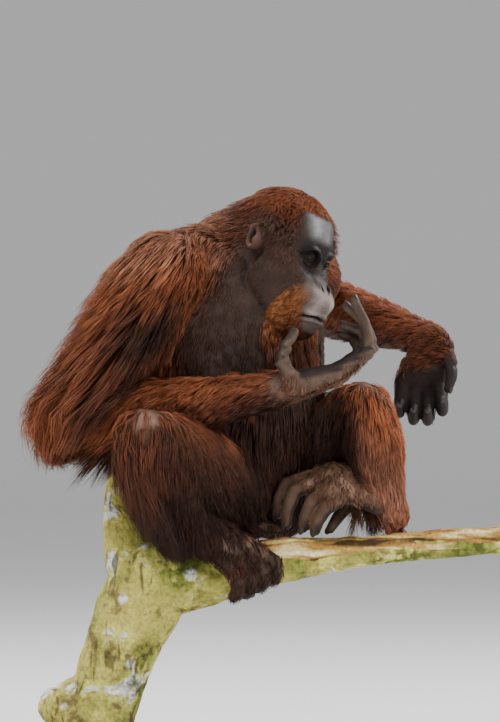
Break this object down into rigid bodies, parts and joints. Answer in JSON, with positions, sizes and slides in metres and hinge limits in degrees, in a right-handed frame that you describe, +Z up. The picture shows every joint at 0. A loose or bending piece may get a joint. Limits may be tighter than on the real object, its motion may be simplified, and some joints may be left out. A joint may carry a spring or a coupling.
{
  "type": "orangutan museum model",
  "caption": "Life-size still orangutan sitting in a tree fork, one hand cupped at its mouth, one arm hanging out to the side, on a flat display base with rods.",
  "frame": {"origin": "on the floor under the middle of the stand's base", "axes": "+Z up; +X to the right of the animal's right side, along the branch away from the trunk; -Y toward the viewer who sees its right side"},
  "size_m": [0.8524, 0.7686, 0.9847],
  "materials": {
    "coat": "long, coarse reddish-brown hair",
    "skin": "bare dark grey-brown skin",
    "eye": "wet, glossy",
    "bark": "rough yellow-green bark with pale lichen",
    "stand_base": "satin dark grey paint",
    "stand_rod": "brushed"
  },
  "bodies": {
    "root": {"head": "coat", "neck": "coat", "chest": "coat", "belly": "coat", "upper_arm_right": "coat", "forearm_right": "coat", "upper_arm_left": "coat", "forearm_left": "coat", "thigh_right": "coat", "shin_right": "coat", "thigh_left": "coat", "shin_left": "coat", "ear_right": "skin", "ear_left": "skin", "hand_right_palm": "skin", "hand_right_thumb": "skin", "hand_right_index": "skin", "hand_right_middle": "skin", "hand_right_ring": "skin", "hand_right_little": "skin", "foot_right_sole": "skin", "foot_right_big_toe": "skin", "foot_right_second": "skin", "foot_right_third": "skin", "foot_right_fourth": "skin", "foot_right_little": "skin", "hand_left_palm": "skin", "hand_left_thumb": "skin", "hand_left_index": "skin", "hand_left_middle": "skin", "hand_left_ring": "skin", "hand_left_little": "skin", "foot_left_sole": "skin", "foot_left_big_toe": "skin", "foot_left_second": "skin", "foot_left_third": "skin", "foot_left_fourth": "skin", "foot_left_little": "skin", "eye_right": "eye", "eye_left": "eye", "perch_trunk": "bark", "perch_branch": "bark", "perch_stub": "bark", "stand_base": "stand_base", "stand_rod_1": "stand_rod", "stand_rod_2": "stand_rod"}
  },
  "joints": []
}
